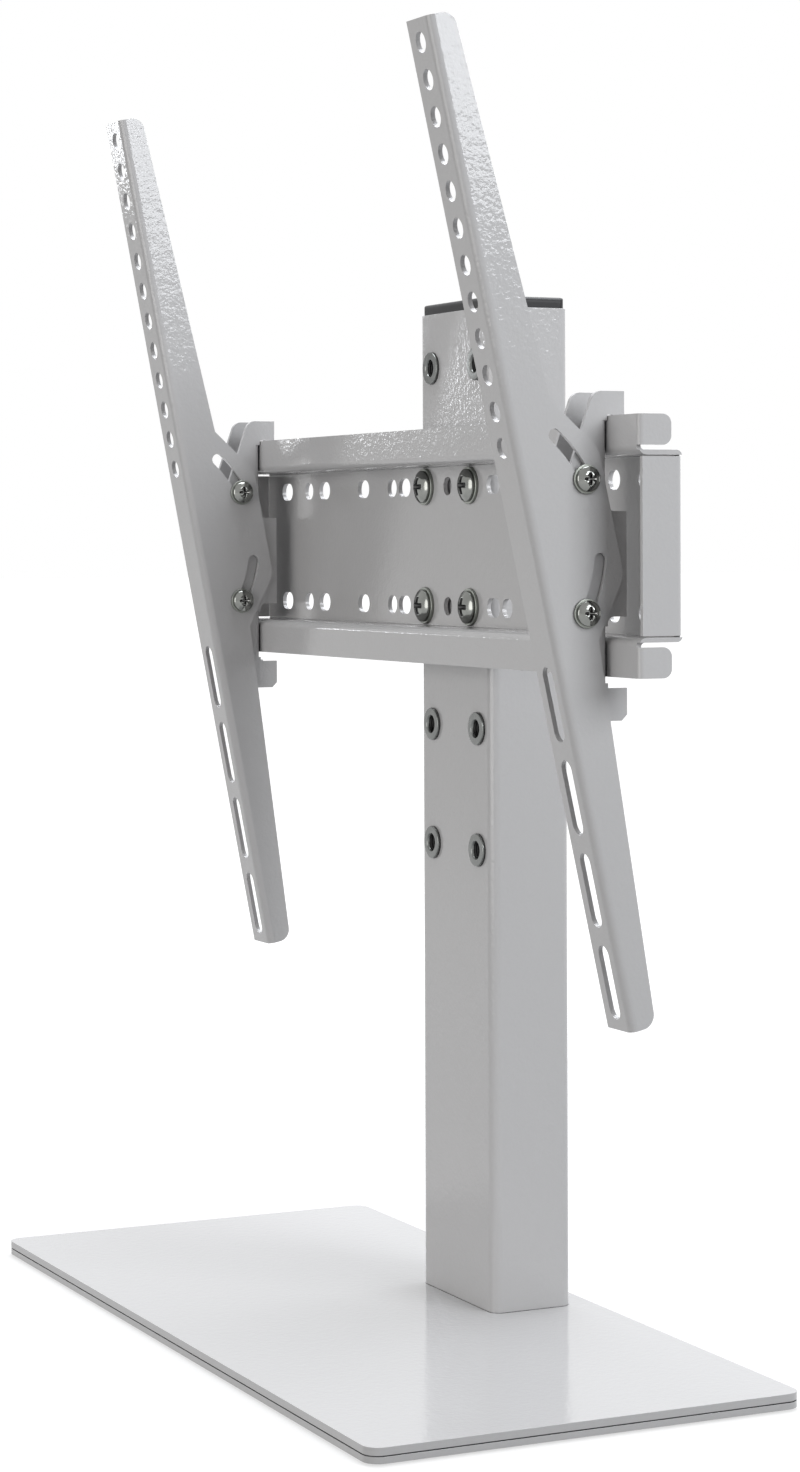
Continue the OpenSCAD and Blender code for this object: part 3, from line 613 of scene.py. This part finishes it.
def rivetNut(look):
    # Drawn from the flange's front at z = 0 backwards; the threaded bore takes the second material
    flangeR, bodyR, boreR = look["flangeD"] / 2, look["bodyD"] / 2, look["boreD"] / 2
    flangeT, back, mouth, gap = look["flangeT"], look["length"], look["mouth"], look["threadGap"]
    threadR, soft = boreR + look["threadDepth"], look["soft"]
    rounding, step = look["flangeRound"], look["flangeStep"]
    wall, bulge = flangeT + look["grip"], look["bulgeD"] / 2 - bodyR
    shoulderR = bodyR + bulge * look["bulgeShoulder"]
    outline = [(boreR, mouth), (boreR + look["mouthStep"], soft), (boreR + look["mouthWidth"], 0.0)]
    outline += [(flangeR - rounding, 0.0), (flangeR - step, step), (flangeR, rounding), (flangeR, flangeT)]
    outline += [  # the bulge that grips the wall from behind
        (bodyR, flangeT), (bodyR, wall), (shoulderR, wall + soft), (bodyR + bulge, wall + bulge / 2),
        (shoulderR, wall + bulge), (bodyR, wall + 2 * bulge),
    ]
    thread = ridges(boreR, threadR, mouth + gap, back - gap, look["pitch"])
    outline += [(bodyR, back), (boreR, back)] + thread[::-1] + [(boreR, mouth)]
    shape = bmesh.new()
    spinProfile(shape, outline, look["segments"])
    bmesh.ops.recalc_face_normals(shape, faces=shape.faces)
    for face in shape.faces:
        middle = face.calc_center_median()
        if fromAxis(middle) < threadR + look["toneReach"] and middle.z > look["toneStart"]:
            face.material_index = 1  # the thread
    return shape


rivetHeights = [places["rivetLow"] + places["rivetPitch"] * row for row in range(places["rivetRows"])]
rivetPlaces = [(x, places["rivetY"], z) for x in places["columnX"] for z in rivetHeights]
shape = placeCopies(rivetNut(rivetNutLook), alongY, rivetPlaces)
evenNormals(finishPiece("rivet_nuts_turned", shape, [rivetZinc, paintedShadeZinc], "rivet_nuts"))
print("rivet nuts made")


def seenDirectly(tree):
    # 1 for what the camera sees, also through glass or in a mirror, and 0 for light that falls on things
    seen = addNode(tree, "ShaderNodeLightPath").outputs
    direct = addMath(tree, "MAXIMUM", seen["Is Camera Ray"], seen["Is Glossy Ray"])
    return addMath(tree, "MAXIMUM", direct, seen["Is Transmission Ray"])


# The lift is the glow that makes the floor look white. It grows away from the object, where the lamps fade
stageLook = {
    "size": 60.0, "colour": (0.25, 0.25, 0.25, 1.0), "roughness": 0.9, "sheen": 0.1,
    "nearEdge": 0.35, "farEdge": 1.6, "nearLift": 0.70, "farLift": 1.0,
}


def buildStage(look):
    shape = bmesh.new()
    bmesh.ops.create_grid(shape, x_segments=1, y_segments=1, size=look["size"] / 2)
    mesh = bpy.data.meshes.new("floor")
    shape.to_mesh(mesh)
    shape.free()
    floor = bpy.data.objects.new("floor", mesh)
    scene.collection.objects.link(floor)
    material, tree, shader = newMaterial("paleFloor")
    mesh.materials.append(material)
    shader.inputs["Base Color"].default_value = look["colour"]
    shader.inputs["Roughness"].default_value = look["roughness"]
    shader.inputs["Specular IOR Level"].default_value = look["sheen"]
    away = addNode(tree, "ShaderNodeVectorMath", operation="LENGTH")
    tree.links.new(addNode(tree, "ShaderNodeTexCoord").outputs["Object"], away.inputs[0])
    lift = addNode(tree, "ShaderNodeMapRange", interpolation_type="SMOOTHSTEP")
    tree.links.new(away.outputs["Value"], lift.inputs["Value"])
    limits = {"From Min": "nearEdge", "From Max": "farEdge", "To Min": "nearLift", "To Max": "farLift"}
    for label, key in limits.items():
        lift.inputs[label].default_value = look[key]
    glow = addMath(tree, "MULTIPLY", seenDirectly(tree), lift.outputs["Result"])
    shader.inputs["Emission Color"].default_value = plainWhite
    tree.links.new(glow, shader.inputs["Emission Strength"])


worldLook = {"lightLevel": 0.32, "seenLevel": 1.0}


def buildWorld(look):
    # Soft light from all round, and a plain white background
    world = bpy.data.worlds.new("studioWorld")
    scene.world = world
    world.use_nodes = True
    tree = world.node_tree
    tree.nodes.clear()
    mixed = addNode(tree, "ShaderNodeMixShader")
    tree.links.new(seenDirectly(tree), mixed.inputs[0])
    for slot, key in ((1, "lightLevel"), (2, "seenLevel")):
        background = addNode(tree, "ShaderNodeBackground")
        background.inputs["Color"].default_value = plainWhite
        background.inputs["Strength"].default_value = look[key]
        tree.links.new(background.outputs[0], mixed.inputs[slot])
    tree.links.new(mixed.outputs[0], addNode(tree, "ShaderNodeOutputWorld").inputs["Surface"])


# The key lamp's edge shows in the gloss of the arms' webs, and the left lamp in the far arm's flange
lampSet = {
    "keyLamp": {
        "place": (1.3, 0.56, 1.03), "aim": (0.1, 0.0, 0.88), "size": (0.8, 0.8),
        "power": 17.0, "colour": (0.94, 0.965, 1.0)},
    "leftLamp": {
        "place": (-1.8, -0.69, 0.55), "aim": (-0.185, -0.03, 0.55), "size": (0.12, 0.12),
        "power": 0.4, "colour": (0.94, 0.965, 1.0)},
    "frontLamp": {
        "place": (0.35, -1.75, 0.45), "aim": (0.0, 0.0, 0.35), "size": (1.2, 1.2),
        "power": 13.0, "colour": (1.0, 0.985, 0.97)},
    "topLamp": {
        "place": (-0.3, 0.3, 1.9), "aim": (0.0, 0.0, 0.0), "size": (1.4, 1.4),
        "power": 48.0, "colour": (0.93, 0.955, 1.0)},
}


def buildLamps(lamps):
    for name, lamp in lamps.items():
        data = bpy.data.lights.new(name, "AREA")
        data.shape = "RECTANGLE"
        data.size, data.size_y = lamp["size"]
        data.energy = lamp["power"]
        data.color = lamp["colour"]
        light = bpy.data.objects.new(name, data)
        scene.collection.objects.link(light)
        light.location = lamp["place"]
        towards = Vector(lamp["aim"]) - Vector(lamp["place"])
        light.rotation_euler = towards.to_track_quat("-Z", "Y").to_euler()


# Metres and degrees. The focal length and the lens axis's row are in the photograph's pixels
cameraSet = {
    "place": (1.3715, -0.6307, 0.3545), "azimuth": 64.660, "elevation": 0.488, "roll": -0.213,
    "focalPixels": 3336.96, "axisRow": 570.2, "frameHeight": 1472, "sensor": 36.0,
    "nearClip": 0.01, "farClip": 50.0,
}


def buildCamera(settings):
    around, above, roll = (radians(settings[key]) for key in ("azimuth", "elevation", "roll"))
    back = Vector((sin(around) * cos(above), -cos(around) * cos(above), sin(above)))
    right = Vector((cos(around), sin(around), 0.0))
    up = back.cross(right)
    rolledRight = right * cos(roll) + up * sin(roll)
    rolledUp = up * cos(roll) - right * sin(roll)
    data = bpy.data.cameras.new("photoCamera")
    data.sensor_width = settings["sensor"]
    data.lens = settings["sensor"] * settings["focalPixels"] / settings["frameHeight"]
    data.shift_y = (settings["axisRow"] - settings["frameHeight"] / 2) / settings["frameHeight"]
    data.clip_start, data.clip_end = settings["nearClip"], settings["farClip"]
    camera = bpy.data.objects.new("photoCamera", data)
    scene.collection.objects.link(camera)
    turn = Matrix((rolledRight, rolledUp, back)).transposed().to_4x4()
    camera.matrix_world = Matrix.Translation(settings["place"]) @ turn
    scene.camera = camera


buildStage(stageLook)
buildWorld(worldLook)
buildLamps(lampSet)
buildCamera(cameraSet)
scene.view_settings.view_transform = "Standard"
print("floor, light and camera placed")
